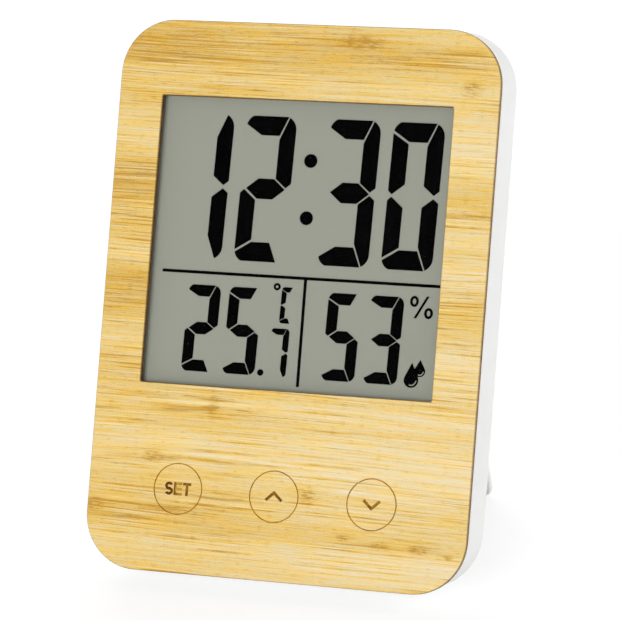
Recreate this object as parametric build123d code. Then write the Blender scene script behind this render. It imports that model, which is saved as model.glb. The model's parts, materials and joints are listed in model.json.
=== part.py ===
from build123d import *
from math import asin, atan2, cos, degrees, hypot, radians, sin
import os

# Desk clock with thermometer and hygrometer: a bamboo faced case that leans on a fold-out leg.
# Sizes are millimetres. Each piece is drawn with the case upright: X to the right, Y from the
# front face backwards, Z up from the lower edge. The whole clock then leans back onto its leg.

# Case
rear_edge_radius = 4.3
housing_corner_radius = 13.4
housing_slope = 0.106
case_wall = 1.6

# Bamboo panel
panel_thickness = 1.2
panel_corner_radius = 12.4
panel_edge_break = 0.15
window_side_margin = 10.45
window_top_margin = 17.2
window_bottom_margin = 42.55
window_corner_radius = 0.5
engraving_depth = 0.2

# Touch keys
key_height = 18.95
key_pitch = 22.95
key_row_shift = -0.39
key_ring_radius = 5.73
key_line_width = 0.28
letter_height = 2.95
letter_width = 1.98
letter_stroke = 0.62
letter_gap = 0.17
letter_bow_start = 25.0
letter_bow_sweep = 245.0
arrow_half_width = 1.9
arrow_height = 1.75
arrow_stroke = 0.66

# Adhesive sheet and gasket behind the panel
adhesive_thickness = 0.15
adhesive_inset = 0.5
gasket_thickness = 0.35
gasket_setback = 0.3
gasket_width = 1.4
gasket_clearance = 0.2

# Display stack
glass_thickness = 0.7
glass_margin = 2.0
contact_ledge = 2.6
ledge_margin = 1.5
cell_gap = 0.1
seal_width = 1.2
reflector_thickness = 0.2

# Display marks: the time row sets the window's width, and the rows one above the other its height
time_left_inset = 4.76
time_right_inset = 2.57
time_head_margin = 3.6
time_foot_gap = 2.83
time_digit_width = 11.93
time_digit_height = 32.9
time_digit_gap = 3.0
time_bar = 4.35
time_arm = 3.75
time_middle_bar = 4.6
colon_space = 8.05
colon_radius = 1.55
colon_half_spread = 6.45
colon_shift = 0.29
colon_rise = 0.35
digit_slant = 0.0226
divider_width = 0.68
divider_left_inset = 2.45
divider_right_inset = 0.55
upright_foot = 1.2
climate_foot_margin = 3.16
climate_head_gap = 2.48
climate_digit_width = 7.8
climate_digit_height = 19.6
climate_digit_gap = 2.1
climate_bar = 2.6
climate_arm = 2.55
climate_middle_bar = 2.75
humidity_left_gap = 5.25
point_radius = 0.73
point_gap = 0.45
point_right_gap = 1.04
tenths_right_gap = 2.6
tenths_digit_width = 4.35
tenths_digit_height = 10.85
tenths_bar = 1.4
unit_right_gap = 2.05
unit_letter_width = 3.05
unit_letter_height = 8.15
unit_bar = 1.14
unit_head_room = 0.6
degree_radius = 0.82
degree_bore = 0.32
degree_gap = 0.35
percent_right_inset = 1.92
percent_gap = 1.55
percent_ring_width = 2.0
percent_ring_height = 2.45
percent_stroke = 0.58
percent_width = 5.45
percent_height = 4.95
percent_head_room = 0.45
drop_right_inset = 4.13
large_drop_radius = 1.67
large_drop_height = 3.85
small_drop_radius = 1.26
small_drop_height = 2.5
small_drop_shift = 1.85
small_drop_rise = 2.08
drop_sink = 0.32
drop_glint = 0.28
drop_glint_share = 0.68
drop_glint_start = -112.0
drop_glint_sweep = 112.0

# Shape of a digit's segments, as shares of the width of its arms and the height of its bars
bar_tip = (0.03, 0.45)
bar_bulge = (0.18, 0.18)
bar_start = 0.45
bar_end = 0.52
bar_foot = 1.02
right_arm_tip = (0.45, 0.04)
right_arm_shoulder = 0.68
right_arm_waist = 0.3
right_arm_toe = (0.33, 0.08)
right_arm_knee = 0.52
right_arm_neck = 1.2
left_arm_head = 0.58
left_arm_neck = 1.12
left_arm_knee = 0.57
left_arm_toe = (0.24, 0.06)
left_arm_waist = 0.24
centre_bar_shoulder = 1.1
centre_bar_tip = 0.36

# Front frame, display retainer and board
frame_clearance = 0.2
frame_seat = 0.4
retainer_thickness = 1.0
retainer_edge_gap = 1.55
retainer_bar = 5.0
retainer_screw_inset = 8.0
board_thickness = 1.2
board_overhang = 0.15
board_bottom = 9.0
board_glass_gap = 1.55
board_corner_radius = 1.5
pad_thickness = 0.1
pad_radius = 5.4
pillar_height = 5.0
pillar_radius = 3.6
ribbon_width = 44.0
ribbon_thickness = 0.12
ribbon_lap = 3.0
ribbon_bend = 0.8
board_boss_radius = 2.0
board_screw_edge = 3.5
board_screw_ribbon_gap = 1.0

# Parts on the board
chip_radius = 5.0
chip_height = 1.4
chip_edge_radius = 1.0
crystal_radius = 1.0
crystal_length = 6.0
crystal_spread = 12.0
sensor_size = 3.0
sensor_height = 1.1
sensor_port_radius = 0.6
sensor_edge = 3.0
capacitor_length = 2.0
capacitor_width = 1.25
capacitor_height = 1.1
capacitor_pitch = 4.0
capacitor_count = 5
part_spread = 7.5

# Batteries and their compartment
cell_radius = 5.25
cell_length = 44.5
cell_edge_radius = 0.5
nub_radius = 1.9
nub_length = 0.8
cell_play = 0.1
cell_side_play = 0.3
cell_spacing = 0.4
spring_room = 5.2
contact_thickness = 0.4
contact_width = 8.6
contact_height = 8.0
contact_tab_width = 2.0
contact_tab_length = 3.4
tab_clearance = 0.15
leaf_width = 5.0
leaf_spread = 3.4
leaf_tip = 0.7
display_gap = 0.3
compartment_floor = 0.8
compartment_wall = 1.2
compartment_top_margin = 3.48
wire_radius = 0.6
wire_bend = 3.0
wire_end_bend = 0.75
wire_pitch = 2.4
wire_side_gap = 1.5
wire_landing = 4.0
wire_screw_gap = 0.5

# Battery door
door_thickness = 1.5
door_ledge = 1.4
door_clearance = 0.2
door_corner_radius = 2.0
door_edge_break = 0.3
door_collar = 1.0
door_grip_width = 16.0
door_grip_depth = 0.7
door_grip_pitch = 2.0
door_grip_count = 4
door_grip_bar = 1.0
door_rib_height = 1.0
door_rib_length = 12.0
door_rib_width = 0.8
door_rib_clearance = 0.25

# Stand leg and its hinge
leg_screw_wall = 1.15
leg_open_angle = 41.0
leg_end = 5.0
leg_thickness = 2.6
leg_corner_radius = 2.2
leg_edge_radius = 1.0
leg_flush = 0.2
leg_gap = 0.3
leg_side_gap = 0.35
leg_heel = 3.6
leg_panel_border = 7.0
leg_panel_depth = 0.6
leg_panel_radius = 3.0
finger_notch_radius = 9.0
finger_notch_depth = 2.4
hinge_pin_radius = 1.2
hinge_pin_length = 2.3
hinge_clearance = 0.05
hinge_end_gap = 0.2
hinge_cover = 1.15
hinge_barrel_wall = 0.6
hinge_side_wall = 2.8
recess_wall = 1.4
stop_gap = 0.15
foot_flat = 0.25
leg_foot_flat = 0.12
table_factor = 4.0

# Vents beside the leg
vent_length = 4.6
vent_width = 1.2
vent_pitch = 3.2
vent_count = 7
vent_bottom = 24.0
vent_edge = 0.4

# Screws
case_screw_side = 8.2
case_screw_low = 12.0
case_screw_top = 9.0
case_screw_radius = 1.0
case_screw_head_radius = 1.9
case_screw_head_height = 1.3
case_screw_sink = 5.0
post_floor = 2.0
post_gap = 0.1
post_wall = 0.7
boss_wall = 1.3
small_screw_radius = 0.75
small_screw_head_radius = 1.4
small_screw_head_height = 0.8
screw_clearance = 0.05
screw_end_gap = 0.3
screw_head_clearance = 0.4
screw_cross_width = 0.45
screw_cross_depth = 0.5
screw_cross_share = 1.3
screw_head_round = 0.4

# Window, and the face around it
window_width = time_left_inset + 4 * time_digit_width + 2 * time_digit_gap + colon_space + time_right_inset
window_right = window_width / 2
climate_height = climate_foot_margin + climate_digit_height / 2
divider_height = climate_height + climate_digit_height / 2 + climate_head_gap + divider_width / 2
time_height = divider_height + divider_width / 2 + time_foot_gap + time_digit_height / 2
window_height = time_height + time_digit_height / 2 + time_head_margin
window_bottom = window_bottom_margin
window_top = window_bottom + window_height
window_middle = (window_top + window_bottom) / 2
case_width = window_width + 2 * window_side_margin
case_half = case_width / 2
case_height = window_top + window_top_margin

# Places in the lower row, counted from the right edge of the window
humidity_right_inset = percent_right_inset + percent_width + percent_gap
humidity_left_inset = humidity_right_inset + 2 * climate_digit_width + climate_digit_gap
upright_inset = humidity_left_inset + humidity_left_gap + divider_width / 2
unit_right_inset = upright_inset + divider_width / 2 + unit_right_gap
tenths_right_inset = upright_inset + divider_width / 2 + tenths_right_gap
point_inset = tenths_right_inset + tenths_digit_width + point_right_gap + point_radius
temperature_right_inset = point_inset + point_radius + point_gap

# Display outlines
glass_half = window_width / 2 + glass_margin
glass_top = window_top + glass_margin
rear_glass_bottom = window_bottom - ledge_margin
front_glass_bottom = rear_glass_bottom - contact_ledge

# Depths of the layers, counted from the front face
panel_back = panel_thickness
frame_front = panel_back + adhesive_thickness
glass_front = panel_back + gasket_thickness
segments_front = glass_front + glass_thickness
segments_back = segments_front + cell_gap
reflector_front = segments_back + glass_thickness
reflector_back = reflector_front + reflector_thickness
frame_back = reflector_back - frame_seat
retainer_back = reflector_back + retainer_thickness
floor_front = reflector_back + display_gap
floor_back = floor_front + compartment_floor
cell_depth = floor_back + cell_play + cell_radius
door_front = cell_depth + cell_radius + cell_play
case_thickness = door_front + door_thickness
pillar_front = frame_back + pad_thickness
board_front = pillar_front + pillar_height
board_back = board_front + board_thickness
board_top = front_glass_bottom - board_glass_gap
board_height = board_top - board_bottom
board_middle = (board_bottom + board_top) / 2
retainer_half = case_half - case_wall - retainer_edge_gap

# Battery compartment, under the top of the window
compartment_height = 4 * cell_radius + cell_spacing + 2 * cell_side_play
compartment_top = window_top - compartment_top_margin
compartment_bottom = compartment_top - compartment_height
compartment_middle = (compartment_bottom + compartment_top) / 2
compartment_half = (cell_length + 2 * contact_thickness + spring_room) / 2
lower_cell = compartment_bottom + cell_side_play + cell_radius
upper_cell = lower_cell + 2 * cell_radius + cell_spacing
cell_end = compartment_half - contact_thickness
seat_width = 2 * (compartment_half + door_ledge)
seat_height = compartment_height + 2 * door_ledge
seat_bottom = compartment_bottom - door_ledge

# Leg in its folded place between the case screws, and the recess that takes it
case_screw_head_room = case_screw_head_radius + screw_head_clearance
recess_half = case_half - case_screw_side - case_screw_head_room - leg_screw_wall
leg_width = 2 * (recess_half - leg_side_gap)
leg_back = case_thickness - leg_flush
leg_front = leg_back - leg_thickness
hinge_bore_radius = hinge_pin_radius + hinge_clearance
hinge_depth = case_thickness - hinge_cover - hinge_bore_radius
hinge_barrel_radius = hinge_pin_radius + hinge_barrel_wall
pocket_top = seat_bottom - recess_wall
hinge_height = pocket_top - leg_gap - hypot(leg_heel, leg_back - hinge_depth)
leg_reach = hinge_height - leg_end
recess_floor = leg_front - leg_gap
recess_inner = recess_floor - recess_wall
recess_bottom = leg_end - leg_gap
open_angle = radians(leg_open_angle)
heel_inward = leg_heel * sin(open_angle) + (hinge_depth - leg_front) * cos(open_angle)
pocket_floor = hinge_depth - max(heel_inward, hinge_barrel_radius) - stop_gap
pocket_inner = pocket_floor - recess_wall
pocket_bottom = hinge_height - hinge_barrel_radius - leg_gap

# Board across the width of the leg recess, and the wires that end on it
board_width = 2 * (recess_half + board_overhang)
wire_depth = (board_back + recess_inner) / 2
wire_landing_top = board_top - board_screw_edge - small_screw_head_radius - wire_screw_gap - wire_radius

# Screw seats
screw_seat = case_thickness - case_screw_sink
post_front = screw_seat - post_floor
boss_end = post_front - post_gap
case_screw_tip = frame_back + 2 * screw_end_gap
post_radius = case_screw_head_room + post_wall

# Angle at which the case's lower rear edge and the leg's foot both stand on the table
edge_depth = case_thickness - rear_edge_radius
edge_height = housing_slope * (edge_depth - frame_front) + rear_edge_radius * hypot(1, housing_slope)
foot_offset = leg_front + leg_edge_radius - hinge_depth
foot_drop = leg_reach - leg_edge_radius
foot_depth = hinge_depth + foot_offset * cos(open_angle) + foot_drop * sin(open_angle)
foot_height = hinge_height + foot_offset * sin(open_angle) - foot_drop * cos(open_angle)
foot_span = hypot(foot_depth - edge_depth, foot_height - edge_height)
foot_slope = atan2(foot_height - edge_height, foot_depth - edge_depth)
edge_drop = rear_edge_radius - foot_flat
lean = foot_slope + asin((edge_drop - leg_edge_radius + leg_foot_flat) / foot_span)
table_drop = edge_height * cos(lean) - edge_depth * sin(lean) - edge_drop


# Drawing helpers

def at_depth(depth):
    """Plane parallel to the front face at a depth behind it, with X right and Z up."""
    return Plane(origin=(0, depth, 0), x_dir=(1, 0, 0), z_dir=(0, -1, 0))


def slab(sketch, front, back):
    """Solid between two depths with the outline of a sketch drawn as seen from the front."""
    return extrude(at_depth(front) * sketch, amount=back - front, dir=(0, 1, 0))


def sloped_slab(sketch, front, back):
    """Solid like a slab that rises towards the back by the slope of the housing."""
    depth = (back - front) * hypot(1, housing_slope)
    rise = housing_slope * (front - frame_front)
    return extrude(at_depth(front) * Pos(0, rise) * sketch, amount=depth, dir=(0, 1, housing_slope))


def block(left, right, front, back, bottom, top):
    """Box between two sides, two depths and two heights."""
    middle = Pos((left + right) / 2, (front + back) / 2, (bottom + top) / 2)
    return middle * Box(right - left, back - front, top - bottom)


def rod_across(radius, left, right, depth, height):
    """Cylinder that runs from left to right."""
    return Pos((left + right) / 2, depth, height) * Rot(0, 90, 0) * Cylinder(radius, right - left)


def rod_back(radius, front, back, x, z):
    """Cylinder that runs from the front backwards."""
    return slab(Pos(x, z) * Circle(radius), front, back)


def case_outline(corner_radius, inset):
    """Round cornered outline of the case, drawn in by an inset."""
    radius = max(corner_radius - inset, window_corner_radius)
    shape = RectangleRounded(case_width - 2 * inset, case_height - 2 * inset, radius)
    return Pos(0, case_height / 2) * shape


def window_outline(grow):
    """Outline of the display window, grown by a margin."""
    shape = RectangleRounded(window_width + 2 * grow, window_height + 2 * grow, window_corner_radius)
    return Pos(0, window_middle) * shape


def glass_outline(bottom, grow):
    """Outline of a display glass that ends at a given lower edge, grown by a margin."""
    shape = Rectangle(2 * (glass_half + grow), glass_top - bottom + 2 * grow)
    return Pos(0, (glass_top + bottom) / 2) * shape


def front_face(piece):
    return piece.faces().sort_by(Axis.Y)[0]


def back_face(piece):
    return piece.faces().sort_by(Axis.Y)[-1]


def screw(head_radius, head_height, radius, seat, tip, x, z):
    """Pan head screw driven from the back, with a cross cut in its head."""
    head = rod_back(head_radius, seat, seat + head_height, x, z)
    head = fillet(back_face(head).edges(), screw_head_round * head_height)
    cross_length = screw_cross_share * head_radius
    cross = Rectangle(cross_length, screw_cross_width) + Rectangle(screw_cross_width, cross_length)
    head -= slab(Pos(x, z) * cross, seat + head_height - screw_cross_depth, seat + head_height)
    return head + rod_back(radius, tip, seat, x, z)


def case_screw_places():
    side = case_half - case_screw_side
    ends = (case_screw_low, case_height - case_screw_top)
    return [(x, z) for x in (-side, side) for z in ends]


def retainer_screw_places():
    side = (glass_half + retainer_half) / 2
    ends = (rear_glass_bottom + retainer_screw_inset, glass_top - retainer_screw_inset)
    return [(x, z) for x in (-side, side) for z in ends]


def board_screw_places():
    lower = board_width / 2 - board_screw_edge
    upper = ribbon_width / 2 + board_boss_radius + board_screw_ribbon_gap
    low_row = [(x, board_bottom + board_screw_edge) for x in (-lower, lower)]
    high_row = [(x, board_top - board_screw_edge) for x in (-upper, upper)]
    return low_row + high_row


def key_places():
    return [key_row_shift - key_pitch, key_row_shift, key_row_shift + key_pitch]


# Key marks

def arc_band(radius, stroke, start, sweep):
    """Part of a ring, from a start angle over a sweep in degrees."""
    outer = CenterArc((0, 0), radius + stroke / 2, start, sweep)
    inner = CenterArc((0, 0), radius - stroke / 2, start, sweep)
    return make_face([outer, Line(outer @ 1, inner @ 1), inner, Line(inner @ 0, outer @ 0)])


def oval_band(across, up, stroke, start, sweep):
    """Part of an oval ring, from a start angle over a sweep in degrees."""
    outer = EllipticalCenterArc((0, 0), across + stroke / 2, up + stroke / 2, start, arc_size=sweep)
    inner = EllipticalCenterArc((0, 0), across - stroke / 2, up - stroke / 2, start, arc_size=sweep)
    return make_face([outer, Line(outer @ 1, inner @ 1), inner, Line(inner @ 0, outer @ 0)])


def letter_s():
    across = (letter_width - letter_stroke) / 2
    bow = (letter_height - letter_stroke) / 4
    upper = Pos(0, bow) * oval_band(across, bow, letter_stroke, letter_bow_start, letter_bow_sweep)
    return upper + Rot(0, 0, 180) * upper


def letter_e():
    arm = Rectangle(letter_width, letter_stroke)
    rise = (letter_height - letter_stroke) / 2
    stem = Pos(-(letter_width - letter_stroke) / 2, 0) * Rectangle(letter_stroke, letter_height)
    return stem + Pos(0, rise) * arm + Pos(0, -rise) * arm + arm


def letter_t():
    rise = (letter_height - letter_stroke) / 2
    return Rectangle(letter_stroke, letter_height) + Pos(0, rise) * Rectangle(letter_width, letter_stroke)


def word_set():
    step = letter_width + letter_gap
    return Pos(-step, 0) * letter_s() + letter_e() + Pos(step, 0) * letter_t()


def arrow(direction):
    """Chevron of one stroke with square ends. It points up for direction 1 and down for direction -1."""
    slant = atan2(arrow_height, arrow_half_width)
    across = arrow_stroke / 2 * sin(slant)
    along = arrow_stroke / 2 * cos(slant)
    peak = arrow_stroke / 2 / cos(slant)
    rise = arrow_height / 2
    left = [(across - arrow_half_width, -rise - along), (-across - arrow_half_width, along - rise)]
    right = [(-x, z) for x, z in reversed(left)]
    outline = [*left, (0, rise + peak), *right, (0, rise - peak)]
    return make_face(Polyline(*[(x, direction * z) for x, z in outline], close=True))


def key_marks():
    ring = Circle(key_ring_radius + key_line_width / 2) - Circle(key_ring_radius - key_line_width / 2)
    marks = [word_set(), arrow(1), arrow(-1)]
    shapes = []
    for x, mark in zip(key_places(), marks):
        shapes += [Pos(x, key_height) * ring, Pos(x, key_height) * mark]
    return shapes


# Front

def bamboo_front_panel():
    panel = slab(case_outline(panel_corner_radius, 0) - window_outline(0), 0, panel_back)
    panel = chamfer(front_face(panel).edges(), panel_edge_break)
    for mark in key_marks():
        panel -= slab(mark, 0, engraving_depth)
    return panel


def gasket_outline(grow):
    return window_outline(gasket_setback + gasket_width + grow)


def panel_adhesive():
    sheet = case_outline(panel_corner_radius, adhesive_inset)
    return slab(sheet - gasket_outline(gasket_clearance), panel_back, frame_front)


def window_gasket():
    return slab(gasket_outline(0) - window_outline(gasket_setback), panel_back, glass_front)


def front_frame():
    edge = case_wall + frame_clearance + housing_slope * (frame_back - frame_front)
    plate = case_outline(housing_corner_radius, edge) - glass_outline(front_glass_bottom, frame_clearance)
    frame = slab(plate, frame_front, frame_back)
    for x, z in retainer_screw_places():
        frame += rod_back(small_screw_head_radius, frame_back, reflector_back, x, z)
        frame -= rod_back(small_screw_radius + screw_clearance, frame_front + screw_end_gap, reflector_back, x, z)
    for x, z in board_screw_places():
        frame += rod_back(board_boss_radius, frame_back, board_front, x, z)
        frame -= rod_back(small_screw_radius + screw_clearance, frame_back + screw_end_gap, board_front, x, z)
    for x, z in case_screw_places():
        frame += rod_back(case_screw_radius + boss_wall, frame_back, boss_end, x, z)
        frame -= rod_back(case_screw_radius + screw_clearance, frame_back + screw_end_gap, boss_end, x, z)
    return frame


# Display

def lcd_front_glass():
    return slab(glass_outline(front_glass_bottom, 0), glass_front, segments_front)


def lcd_edge_seal():
    ring = glass_outline(rear_glass_bottom, 0) - glass_outline(rear_glass_bottom, -seal_width)
    return slab(ring, segments_front, segments_back)


def lcd_rear_glass():
    return slab(glass_outline(rear_glass_bottom, 0), segments_back, reflector_front)


def lcd_reflector():
    return slab(glass_outline(rear_glass_bottom, 0), reflector_front, reflector_back)


def lcd_layer(faces):
    """Thin solids of the lit marks, between the two glasses."""
    return Compound([slab(face, segments_front, segments_back).solid() for face in faces])


digit_segments = {"0": "abcdef", "1": "bc", "2": "abged", "3": "abgcd", "5": "afgcd", "7": "abc", "C": "afed"}


def digit_faces(character, right, middle, width, height, bar, arm, middle_bar):
    """Lit segments of one digit, whose right edge and middle height are given."""
    top = height / 2
    left = right - width

    def point(x, z):
        return (left + x + digit_slant * z, middle + z)

    def upper_bar(flip):
        tip = point(bar_tip[0] * arm, flip * (top - bar_tip[1] * bar))
        bulge = point(bar_bulge[0] * arm, flip * (top - bar_bulge[1] * bar))
        start = point(bar_start * arm, flip * top)
        far = point(width - bar_end * arm, flip * top)
        inner = point(width - bar_foot * arm, flip * (top - bar))
        near = point(bar_foot * arm, flip * (top - bar))
        return [ThreePointArc(start, bulge, tip), Polyline(start, far, inner, near, tip)]

    def right_arm(flip):
        tip = point(width - right_arm_tip[0] * arm, flip * (top - right_arm_tip[1] * bar))
        shoulder = point(width, flip * (top - right_arm_shoulder * bar))
        waist = point(width, flip * right_arm_waist * middle_bar)
        toe = point(width - right_arm_toe[0] * arm, flip * right_arm_toe[1] * middle_bar)
        knee = point(width - arm, flip * right_arm_knee * middle_bar)
        neck = point(width - arm, flip * (top - right_arm_neck * bar))
        return [TangentArc(shoulder, tip, tangent=(0, flip)), Polyline(shoulder, waist, toe, knee, neck, tip)]

    def left_arm(flip):
        head = point(0, flip * (top - left_arm_head * bar))
        neck = point(arm, flip * (top - left_arm_neck * bar))
        knee = point(arm, flip * left_arm_knee * middle_bar)
        toe = point(left_arm_toe[0] * arm, flip * left_arm_toe[1] * middle_bar)
        waist = point(0, flip * left_arm_waist * middle_bar)
        return [Polyline(head, neck, knee, toe, waist, close=True)]

    def centre_bar():
        rise = middle_bar / 2
        shoulder = centre_bar_shoulder * arm
        tip = centre_bar_tip * arm
        upper = [point(tip, 0), point(shoulder, rise), point(width - shoulder, rise), point(width - tip, 0)]
        lower = [point(width - shoulder, -rise), point(shoulder, -rise)]
        return [Polyline(*upper, *lower, close=True)]

    edges = {"a": upper_bar(1), "b": right_arm(1), "c": right_arm(-1), "d": upper_bar(-1)}
    edges.update({"e": left_arm(-1), "f": left_arm(1), "g": centre_bar()})
    return [make_face(edges[name]) for name in digit_segments[character]]


def time_faces(character, right):
    middle = window_bottom + time_height
    size = (time_digit_width, time_digit_height, time_bar, time_arm, time_middle_bar)
    return digit_faces(character, right, middle, *size)


def climate_faces(character, right):
    middle = window_bottom + climate_height
    size = (climate_digit_width, climate_digit_height, climate_bar, climate_arm, climate_middle_bar)
    return digit_faces(character, right, middle, *size)


def lcd_time_digits():
    pitch = time_digit_width + time_digit_gap
    minutes = window_right - time_right_inset
    hours = minutes - pitch - time_digit_width - colon_space
    faces = time_faces("0", minutes) + time_faces("3", minutes - pitch)
    faces += time_faces("2", hours) + time_faces("1", hours - pitch)
    colon_x = hours + colon_space / 2 + colon_shift
    colon_z = window_bottom + time_height + colon_rise
    for side in (-1, 1):
        faces.append(Pos(colon_x, colon_z + side * colon_half_spread) * Circle(colon_radius))
    return lcd_layer(faces)


def lcd_divider_lines():
    left = -window_width / 2 + divider_left_inset
    right = window_right - divider_right_inset
    level = window_bottom + divider_height
    foot = window_bottom + upright_foot
    across = Pos((left + right) / 2, level) * Rectangle(right - left, divider_width)
    upright = Pos(window_right - upright_inset, (level + foot) / 2) * Rectangle(divider_width, level - foot)
    return lcd_layer([across + upright])


def lcd_temperature_digits():
    units = window_right - temperature_right_inset
    pitch = climate_digit_width + climate_digit_gap
    middle = window_bottom + climate_height
    top = middle + climate_digit_height / 2
    bottom = middle - climate_digit_height / 2
    faces = climate_faces("2", units - pitch) + climate_faces("5", units)
    faces.append(Pos(window_right - point_inset, bottom + point_radius) * Circle(point_radius))
    tenths = window_right - tenths_right_inset
    tenths_middle = bottom + tenths_digit_height / 2
    tenths_size = (tenths_digit_width, tenths_digit_height, tenths_bar, tenths_bar, tenths_bar)
    faces += digit_faces("7", tenths, tenths_middle, *tenths_size)
    unit = window_right - unit_right_inset
    unit_top = top + unit_head_room
    unit_size = (unit_letter_width, unit_letter_height, unit_bar, unit_bar, unit_bar)
    faces += digit_faces("C", unit, unit_top - unit_letter_height / 2, *unit_size)
    degree_x = unit - unit_letter_width - degree_gap - degree_radius
    faces.append(Pos(degree_x, unit_top) * (Circle(degree_radius) - Circle(degree_bore)))
    return lcd_layer(faces)


def percent_faces():
    right = window_right - percent_right_inset
    top = window_bottom + climate_height + climate_digit_height / 2 + percent_head_room
    inner = (percent_ring_width / 2 - percent_stroke, percent_ring_height / 2 - percent_stroke)
    ring = Ellipse(percent_ring_width / 2, percent_ring_height / 2) - Ellipse(*inner)
    left_ring = Pos(right - percent_width + percent_ring_width / 2, top - percent_ring_height / 2)
    right_ring = Pos(right - percent_ring_width / 2, top - percent_height + percent_ring_height / 2)
    middle_x = right - percent_width / 2
    run = percent_width / 4
    half = percent_stroke / 2
    corners = [(middle_x + run - half, top), (middle_x + run + half, top)]
    corners += [(middle_x - run + half, top - percent_height), (middle_x - run - half, top - percent_height)]
    return [left_ring * ring, right_ring * ring, make_face(Polyline(*corners, close=True))]


def drop_outline(radius, height):
    """Water drop whose round part is centred at the origin, with its tip at a height above it."""
    lean_in = asin(radius / height)
    side = (radius * cos(lean_in), radius * sin(lean_in))
    bottom = ThreePointArc((-side[0], side[1]), (0, -radius), side)
    return make_face([bottom, Polyline(side, (0, height), (-side[0], side[1]))])


def drop_glint_band(radius):
    return arc_band(drop_glint_share * radius, drop_glint, drop_glint_start, drop_glint_sweep)


def glinting_drop(radius, height):
    return drop_outline(radius, height) - drop_glint_band(radius)


def drop_faces():
    centre_x = window_right - drop_right_inset - large_drop_radius
    bottom = window_bottom + climate_height - climate_digit_height / 2
    centre_z = bottom + large_drop_radius - drop_sink
    large = glinting_drop(large_drop_radius, large_drop_height)
    small = Pos(small_drop_shift, small_drop_rise) * glinting_drop(small_drop_radius, small_drop_height)
    return [Pos(centre_x, centre_z) * face for face in (large + small).faces()]


def lcd_humidity_digits():
    units = window_right - humidity_right_inset
    pitch = climate_digit_width + climate_digit_gap
    faces = climate_faces("5", units - pitch) + climate_faces("3", units)
    return lcd_layer(faces + percent_faces() + drop_faces())


def display_retainer():
    bottom = rear_glass_bottom
    top = glass_top + retainer_thickness
    opening_half = compartment_half + 2 * compartment_wall
    opening_top = compartment_top + 2 * compartment_wall
    plate = block(-retainer_half, retainer_half, reflector_back, retainer_back, bottom, top)
    plate -= block(-opening_half, opening_half, reflector_back, retainer_back, bottom + retainer_bar, opening_top)
    for x, z in retainer_screw_places():
        plate -= rod_back(small_screw_radius + screw_clearance, reflector_back, retainer_back, x, z)
    return plate


def screw_group(places, seat, tip):
    size = (small_screw_head_radius, small_screw_head_height, small_screw_radius)
    return Compound([screw(*size, seat, tip, x, z).solid() for x, z in places])


def retainer_screws():
    return screw_group(retainer_screw_places(), retainer_back, frame_front + 2 * screw_end_gap)


def display_ribbon():
    """Ribbon from the display's ledge, back through the frame and down onto the board."""
    half = ribbon_thickness / 2
    lap_top = rear_glass_bottom - 2 * ribbon_thickness
    drop = rear_glass_bottom - contact_ledge / 2
    front = segments_front + half
    back = board_front - half
    points = [(0, front, lap_top), (0, front, drop - ribbon_bend / 2), (0, back, drop - ribbon_bend / 2)]
    points.append((0, back, board_top - ribbon_lap))
    path = FilletPolyline(*points, radius=ribbon_bend)
    start = Plane(origin=path @ 0, x_dir=(1, 0, 0), z_dir=path % 0)
    return sweep(start * Rectangle(ribbon_width, ribbon_thickness), path=path)


# Board and touch keys

def touch_pads():
    return Compound([rod_back(pad_radius, frame_back, pillar_front, x, key_height).solid() for x in key_places()])


def touch_pillars():
    return Compound([rod_back(pillar_radius, pillar_front, board_front, x, key_height).solid() for x in key_places()])


def main_board():
    board = slab(Pos(0, board_middle) * RectangleRounded(board_width, board_height, board_corner_radius),
                 board_front, board_back)
    for x, z in board_screw_places():
        board -= rod_back(small_screw_radius + screw_clearance, board_front, board_back, x, z)
    return board


def board_screws():
    return screw_group(board_screw_places(), board_back, frame_back + 2 * screw_end_gap)


def controller_chip():
    blob = rod_back(chip_radius, board_back, board_back + chip_height, 0, board_middle)
    return fillet(back_face(blob).edges(), chip_edge_radius)


def quartz_crystal():
    left = crystal_spread - crystal_length / 2
    height = board_middle + part_spread
    return rod_across(crystal_radius, left, left + crystal_length, board_back + crystal_radius, height)


def sensor_x():
    return -board_width / 2 + sensor_edge + sensor_size / 2


def climate_sensor():
    x = sensor_x()
    back = board_back + sensor_height
    body = slab(Pos(x, board_middle) * Rectangle(sensor_size, sensor_size), board_back, back)
    return body - rod_back(sensor_port_radius, back - sensor_height / 2, back, x, board_middle)


def board_capacitors():
    first = -capacitor_pitch * (capacitor_count - 1) / 2
    height = board_middle - part_spread
    pieces = []
    for index in range(capacitor_count):
        shape = Pos(first + index * capacitor_pitch, height) * Rectangle(capacitor_length, capacitor_width)
        pieces.append(slab(shape, board_back, board_back + capacitor_height).solid())
    return Compound(pieces)


# Rear housing

def leg_recess():
    recess = block(-recess_half, recess_half, recess_floor, case_thickness, recess_bottom, pocket_top)
    return recess + block(-recess_half, recess_half, pocket_floor, recess_floor, pocket_bottom, pocket_top)


def recess_walls():
    side = recess_half + recess_wall
    walls = block(-side, side, recess_inner, case_thickness, recess_bottom - recess_wall, pocket_top + recess_wall)
    hinge_side = recess_half + hinge_side_wall
    low = pocket_bottom - recess_wall
    return walls + block(-hinge_side, hinge_side, pocket_inner, case_thickness, low, pocket_top + recess_wall)


def compartment_walls():
    half = compartment_half + compartment_wall
    low = compartment_bottom - compartment_wall
    high = compartment_top + compartment_wall
    walls = block(-half, half, floor_front, case_thickness, low, high)
    collar = slab(Pos(0, compartment_middle) * Rectangle(seat_width + 2 * door_collar, seat_height + 2 * door_collar),
                  door_front - door_collar, case_thickness)
    return walls + collar


def compartment_space():
    half = compartment_half
    space = block(-half, half, floor_back, case_thickness, compartment_bottom, compartment_top)
    seat = RectangleRounded(seat_width, seat_height, door_corner_radius)
    return space + slab(Pos(0, compartment_middle) * seat, door_front, case_thickness)


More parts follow.
